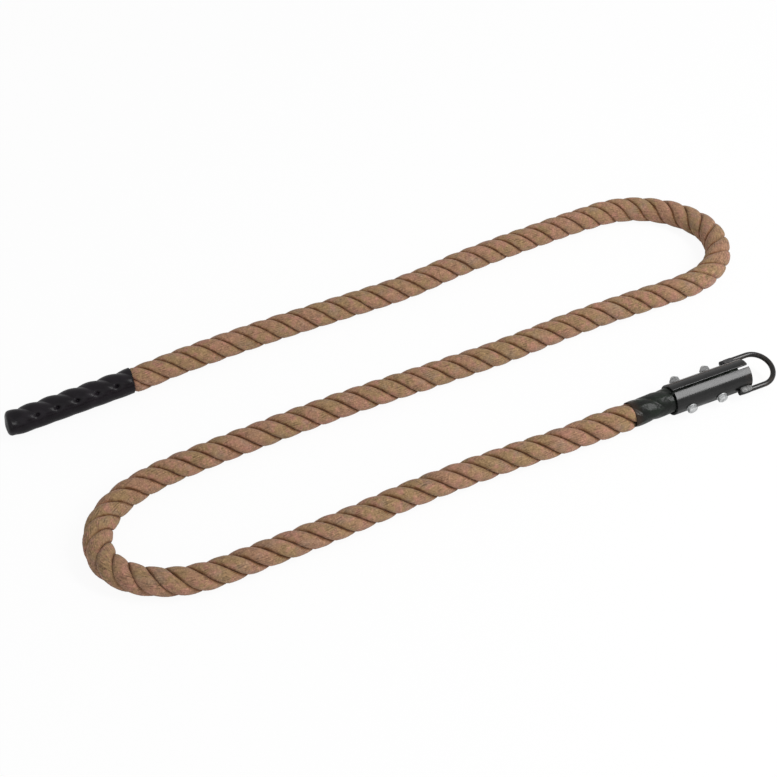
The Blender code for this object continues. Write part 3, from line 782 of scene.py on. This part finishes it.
class ROPE_OT_laid_rope(bpy.types.Operator):
    """Lay the rope: twisted strands along its route, pressed a little flat on the floor."""

    bl_idname = "rope.laid_rope"
    bl_label = "Laid rope"

    def execute(self, context):
        rope = context.scene.rope_look
        line, marks = rope_line()
        shares = self.strand_shares(rope)
        sides = len(shares)
        turns = strand_turns(marks)
        shape = bmesh.new()
        straight = shape.verts.layers.float_vector.new("straight")
        worn = shape.verts.layers.float.new("worn")
        lay = shape.loops.layers.uv.new("lay")
        bmesh.ops.create_grid(shape, x_segments=sides, y_segments=len(line) - 1, size=0.5)
        spots = {}
        for vert in shape.verts:
            column = round((vert.co.x + 0.5) * sides)
            row = round((vert.co.y + 0.5) * (len(line) - 1))
            strand, share = shares[column % sides]
            angle = 2 * math.pi * ((strand + share / 2) / rope.strands - turns[row])
            across = (strand + (share + 1) / 2) / rope.strands + column // sides
            spots[vert.index] = (across, turns[row])
            vert.co, vert[straight], vert[worn] = self.bent(
                rope, line, marks, row, strand, share, angle)
        for face in shape.faces:
            for loop in face.loops:
                loop[lay].uv = spots[loop.vert.index]
        bmesh.ops.remove_doubles(shape, verts=shape.verts, dist=MERGE / 10)
        bmesh.ops.holes_fill(shape, edges=shape.edges, sides=0)
        bmesh.ops.recalc_face_normals(shape, faces=shape.faces)
        piece = finish_piece("laid_rope", shape, rope_fibre(rope), ["rope"], 80)
        sleeve_axis(-context.scene.rope_clamp.sleeve_bare)
        return {"FINISHED"}

    def strand_shares(self, rope):
        """Return each column's strand and place across it, closer together near the grooves."""
        even = [2 * column / rope.strand_sides - 1 for column in range(rope.strand_sides)]
        shares = [(place + math.sin(math.pi / 2 * place)) / 2 for place in even]
        return [(strand, share) for strand in range(rope.strands) for share in shares]

    def bent(self, rope, line, marks, row, strand, share, angle):
        """Return a point on the laid rope, its place on a straight rope, and its wear."""
        tangent = (line[min(row + 1, len(line) - 1)] - line[max(row - 1, 0)]).normalized()
        side = Vector((0.0, 0.0, 1.0)).cross(tangent).normalized()
        up = tangent.cross(side)
        outward = up * math.cos(angle) + side * math.sin(angle)
        turn = bend_turn(line, row)
        inward = outward.dot(turn)
        worn = turn.length * smooth((0.45 * turn.length - inward) / 0.9)
        radius = rope_radius(marks[row], marks[-1], turn.length)
        swell = 1.0 + 0.020 * noise.noise(Vector((strand * 7.0, marks[row] * 26.0, 0.0)))
        fullness = rope.flat_strand + (rope.full_strand - rope.flat_strand) * marks[row] / marks[-1]
        # Strands are pressed together on the floor and inside a bend, and drawn flat outside it
        on_floor = smooth((-0.25 - math.cos(angle)) / 0.45)
        pressed = max(0.6 * on_floor, 0.50 * smooth(inward / 0.6), 0.45 * worn)
        reach = radius * strand_reach(abs(share), fullness, pressed) * swell
        flat = Vector((reach * math.cos(angle), reach * math.sin(angle), marks[row]))
        reach += 0.0004 * noise.noise(flat * 110.0)
        point = line[row] + outward * reach
        point.z = max(point.z, FIT)
        return point, flat, worn


class ROPE_OT_sleeve(bpy.types.Operator):
    """Shrink the sleeve over the strands, and give the rope its cut end in the clamp."""

    bl_idname = "rope.sleeve"
    bl_label = "Sleeve and rope end"

    def execute(self, context):
        clamp = context.scene.rope_clamp
        rope = context.scene.rope_look
        end = clamp.shell_length - clamp.rope_end_inset
        start = -clamp.sleeve_bare
        outer, wall = clamp.sleeve_radius, clamp.sleeve_wall
        rows = 116
        steps = [start + (end - start) * row / rows for row in range(rows + 1)]
        profile = [
            (end, outer - wall), (end, outer),
            *((x, outer) for x in reversed(steps[1:-1])),
            (start, outer), (start - 0.0003, outer - wall / 2),
            *((x, outer - wall) for x in steps[0:-1:2]),
        ]
        shape = turned(profile, 112, closed=True)
        for vert in shape.verts:
            radius = math.hypot(vert.co.y, vert.co.z)
            angle = math.atan2(vert.co.y, vert.co.z)
            scale = (self.film_radius(clamp, rope, vert.co.x, angle) + radius - outer) / radius
            vert.co.y *= scale
            vert.co.z *= scale
        put_on_clamp(shape)
        back = clamp_matrix().inverted()
        for vert in shape.verts:
            vert.co.z -= sleeve_sag((back @ vert.co).x)
        finish_piece(
            "shrunk_sleeve", shape, sleeve_film(clamp), ["clamp_sleeve"], 60)
        self.add_rope_end(clamp, rope, start + 0.016, end)
        return {"FINISHED"}

    def film_radius(self, clamp, rope, x, angle):
        """Return the sleeve's outer radius: lobes and creases where it is bare."""
        bare = smooth(-x / 0.012)
        turns = angle / (2 * math.pi) + x / LAY_LENGTHS[-1][1]
        from_crest = abs((turns * rope.strands) % 1.0 - 0.5) * 2
        place = Vector((x * 55.0, angle * 1.9, 2.0 * math.cos(angle)))
        crease = noise.noise(place) * 0.0007 * bare
        flare = 0.0006 * smooth((-x - 0.030) / 0.030)
        relief = 0.0011 + 0.0007 * bare
        return clamp.sleeve_radius + flare + crease - relief * from_crest ** 3

    def add_rope_end(self, clamp, rope, start, end):
        """Add the clamped strands with their domed, cut ends."""
        radius = clamp.sleeve_radius - 0.0024
        profile = [
            (start, 0.0), (start, radius), (end - 0.004, radius), (end - 0.0012, radius),
            (end - 0.0003, radius - 0.0006),
            *((end, radius * share / 14) for share in range(13, -1, -1)),
        ]
        shape = turned(profile, 96)
        start_turn = end / LAY_LENGTHS[-1][1]
        for vert in shape.verts:
            if vert.co.x < end - 0.0005:
                continue
            # Each strand's end is domed about its own middle
            angle = math.atan2(vert.co.y, vert.co.z)
            strand = math.floor((angle / (2 * math.pi) + start_turn) * rope.strands) + 0.5
            middle = 2 * math.pi * (strand / rope.strands - start_turn)
            centre = Vector((math.sin(middle), math.cos(middle))) * radius * 0.52
            apart = (Vector((vert.co.y, vert.co.z)) - centre).length / (radius * 0.48)
            vert.co.x += 0.0016 * (1.0 - min(apart, 1.3) ** 2)
            vert.co.x += 0.0006 * noise.noise(vert.co * 700.0)
        put_on_clamp(shape)
        finish_piece("cut_strands", shape, cut_fibre(rope), ["rope_tail"], 50)


class ROPE_OT_clamp(bpy.types.Operator):
    """Paint the two half shells, smoothed from their nodes."""

    bl_idname = "rope.clamp"
    bl_label = "Half shells"

    def execute(self, context):
        paint = black_paint(context.scene.rope_clamp)
        for node in ("near_shell", "far_shell"):
            finish_piece(f"{node}_painted", merged_copy(node), paint, [node], 20)
        return {"FINISHED"}


def merged_copy(node):
    """Return a bmesh of a node's mesh, with its triangles joined and flat faces made whole."""
    shape = bmesh.new()
    shape.from_mesh(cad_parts[node].data)
    bmesh.ops.remove_doubles(shape, verts=shape.verts, dist=MERGE)
    bmesh.ops.dissolve_limit(
        shape, angle_limit=math.radians(0.3), verts=shape.verts, edges=shape.edges)
    return shape


class ROPE_OT_bail(bpy.types.Operator):
    """Bend the bail from round bar, and weld its legs to the shells."""

    bl_idname = "rope.bail"
    bl_label = "Bail and welds"

    def execute(self, context):
        clamp = context.scene.rope_clamp
        offset = clamp.shell_radius + FIT + clamp.bar_radius
        leg_start = clamp.shell_length - clamp.leg_lap
        arc_x = clamp.shell_length + clamp.bail_reach
        shape = bmesh.new()
        turn = Matrix.Rotation(math.pi / 2, 4, "Y")
        place = Matrix.Translation((leg_start, -offset, 0.0)) @ turn
        grown = bmesh.ops.create_circle(
            shape, cap_ends=True, segments=28, radius=clamp.bar_radius, matrix=place)
        section = list({face for vert in grown["verts"] for face in vert.link_faces})
        section = self.push(shape, section, arc_x - leg_start)
        swept = bmesh.ops.spin(
            shape, geom=section, cent=(arc_x, 0.0, 0.0), axis=(0.0, 0.0, 1.0),
            angle=math.pi, steps=56)
        bmesh.ops.delete(shape, geom=section, context="FACES_ONLY")
        section = [item for item in swept["geom_last"] if isinstance(item, bmesh.types.BMFace)]
        self.push(shape, section, leg_start - arc_x)
        bmesh.ops.holes_fill(shape, edges=shape.edges, sides=0)
        ends = [edge for edge in shape.edges if abs(edge.calc_face_angle(0.0) - math.pi / 2) < 0.2]
        bmesh.ops.bevel(
            shape, geom=ends, offset=0.0012, offset_type="OFFSET", segments=3, profile=0.5,
            affect="EDGES", material=-1)
        bmesh.ops.recalc_face_normals(shape, faces=shape.faces)
        put_on_clamp(shape)
        finish_piece("bent_bail", shape, black_paint(clamp), ["bail"], 20)

        # Light grey for the near beads, dark grey for the far ones
        bare = weld_metal("near_weld_metal", clamp.near_weld_colour)
        painted = weld_metal("painted_weld_metal", clamp.painted_weld)
        for side_name, side, metal in (("near", -1, bare), ("far", 1, painted)):
            for level_name, level in (("upper", 1), ("lower", -1)):
                node = f"{side_name}_{level_name}_weld"
                shape = self.bead(clamp, side, level)
                finish_piece(f"{node}_bead", shape, metal, [node], 70)
        return {"FINISHED"}

    def push(self, shape, section, distance):
        """Extrude a section along X and return its new end face."""
        grown = bmesh.ops.extrude_face_region(shape, geom=section)
        moved = [item for item in grown["geom"] if isinstance(item, bmesh.types.BMVert)]
        bmesh.ops.translate(shape, vec=(distance, 0.0, 0.0), verts=moved)
        bmesh.ops.delete(shape, geom=section, context="FACES_ONLY")
        return [item for item in grown["geom"] if isinstance(item, bmesh.types.BMFace)]

    def bead(self, clamp, side, level):
        """Return a weld bead: ripples in the groove between the leg and the shell."""
        ripples, rows = 11, 88
        start = clamp.shell_length - clamp.leg_lap / 2 - clamp.weld_length / 2
        profile = []
        for row in range(rows + 1):
            share = row / rows
            in_ripple = 2 * (share * ripples % 1.0) - 1
            dome = math.sqrt(1.0 - abs(2 * share - 1) ** 6)
            radius = dome * (0.90 + 0.10 * math.sqrt(1.0 - in_ripple ** 2))
            profile.append((start + clamp.weld_length * share, radius))
        shape = turned(profile, 24)
        # The plain bead has a radius of 1, and is narrowed and moved to its groove here
        crest = side * (clamp.shell_radius + 0.0026)
        for vert in shape.verts:
            wobble = noise.noise(Vector((vert.co.x * 900.0, side * 3.0, level * 5.0)))
            vert.co.y = crest + vert.co.y * (0.0050 + 0.0004 * wobble)
            vert.co.z = level * (0.0029 + 0.0004 * wobble) + vert.co.z * (0.0034 + 0.0003 * wobble)
        put_on_clamp(shape)
        return shape


class ROPE_OT_fasteners(bpy.types.Operator):
    """Finish the bolts, nuts and washers, and cut the bolts' threads."""

    bl_idname = "rope.fasteners"
    bl_label = "Bolts and nuts"

    def execute(self, context):
        clamp = context.scene.rope_clamp
        bright = zinc_plate("zinc_plated_steel", clamp.zinc)
        # The nuts, far washers and thread ends get a darker copy of the same zinc, as painted shade
        dull = zinc_plate("shaded_zinc_plated_steel", clamp.shaded_zinc)
        for node in (
            "mouth_bolt", "middle_bolt", "mouth_nut", "middle_nut", "mouth_near_washer",
            "mouth_far_washer", "middle_near_washer", "middle_far_washer",
        ):
            zinc = dull if "nut" in node or "far" in node else bright
            piece = finish_piece(f"{node}_zinc", merged_copy(node), zinc, [node], 25)
            ease = piece.modifiers.new("eased_edges", "BEVEL")
            ease.width = 0.0003
            ease.segments = 2
            ease.harden_normals = True
            ease.limit_method = "ANGLE"
            ease.angle_limit = math.radians(28)
        for place in ("mouth", "middle"):
            self.add_thread(clamp, place, dull)
        return {"FINISHED"}

    def add_thread(self, clamp, name, zinc):
        """Wind a thread round the bolt's end past its nut."""
        back = clamp_matrix().inverted()
        bolt = [back @ vert.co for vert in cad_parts[f"{name}_bolt"].data.vertices]
        nut = [back @ vert.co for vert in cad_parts[f"{name}_nut"].data.vertices]
        end = max(place.y for place in bolt)
        start = max(place.y for place in nut)
        centre = (min(place.x for place in bolt) + max(place.x for place in bolt)) / 2
        half = clamp.thread_pitch * 0.42
        root, crest = clamp.thread_radius - 0.0004, clamp.thread_radius + 0.0002
        shape = bmesh.new()
        profile = [
            shape.verts.new((centre, start + y, z))
            for y, z in ((0.0, root), (half, crest), (2 * half, root))
        ]
        edges = [shape.edges.new(pair) for pair in zip(profile, profile[1:] + profile[:1])]
        per_turn = 20
        steps = round(per_turn * (end - start - 3 * half) / clamp.thread_pitch)
        bmesh.ops.spin(
            shape, geom=profile + edges, cent=(centre, 0.0, 0.0), axis=(0.0, 1.0, 0.0),
            dvec=(0.0, clamp.thread_pitch / per_turn, 0.0),
            angle=2 * math.pi * steps / per_turn, steps=steps)
        bmesh.ops.holes_fill(shape, edges=shape.edges, sides=0)
        bmesh.ops.recalc_face_normals(shape, faces=shape.faces)
        put_on_clamp(shape)
        finish_piece(f"{name}_bolt_thread", shape, zinc, [], 60)


class ROPE_PT_panel(bpy.types.Panel):
    """Sizes, colours and pieces of the rope."""

    bl_idname = "ROPE_PT_panel"
    bl_label = "Climbing rope"
    bl_space_type = "VIEW_3D"
    bl_region_type = "UI"
    bl_category = "Rope"

    def draw(self, context):
        layout = self.layout
        for group in GROUPS:
            settings = getattr(context.scene, group)
            box = layout.box()
            for name in settings.bl_rna.properties.keys():
                if name not in ("rna_type", "name"):
                    box.prop(settings, name)
        for operator in OPERATORS:
            layout.operator(operator.bl_idname)


GROUPS = {
    "rope_look": RopeSizes,
    "rope_cap": CapSizes,
    "rope_clamp": ClampSizes,
    "rope_stage": StageSizes,
}
OPERATORS = [
    ROPE_OT_stage, ROPE_OT_cap, ROPE_OT_laid_rope, ROPE_OT_sleeve, ROPE_OT_clamp, ROPE_OT_bail,
    ROPE_OT_fasteners,
]


def register():
    """Register the settings, the operators and the panel."""
    for group, kind in GROUPS.items():
        bpy.utils.register_class(kind)
        setattr(bpy.types.Scene, group, PointerProperty(type=kind))
    for kind in [*OPERATORS, ROPE_PT_panel]:
        bpy.utils.register_class(kind)


def unregister():
    """Remove the panel, the operators and the settings."""
    for kind in reversed([*OPERATORS, ROPE_PT_panel]):
        bpy.utils.unregister_class(kind)
    for group, kind in GROUPS.items():
        delattr(bpy.types.Scene, group)
        bpy.utils.unregister_class(kind)


def main():
    """Build every piece in order."""
    register()
    bpy.ops.rope.stage()
    bpy.ops.rope.cap()
    bpy.ops.rope.laid_rope()
    bpy.ops.rope.sleeve()
    bpy.ops.rope.clamp()
    bpy.ops.rope.bail()
    bpy.ops.rope.fasteners()


if __name__ == "__main__":
    main()
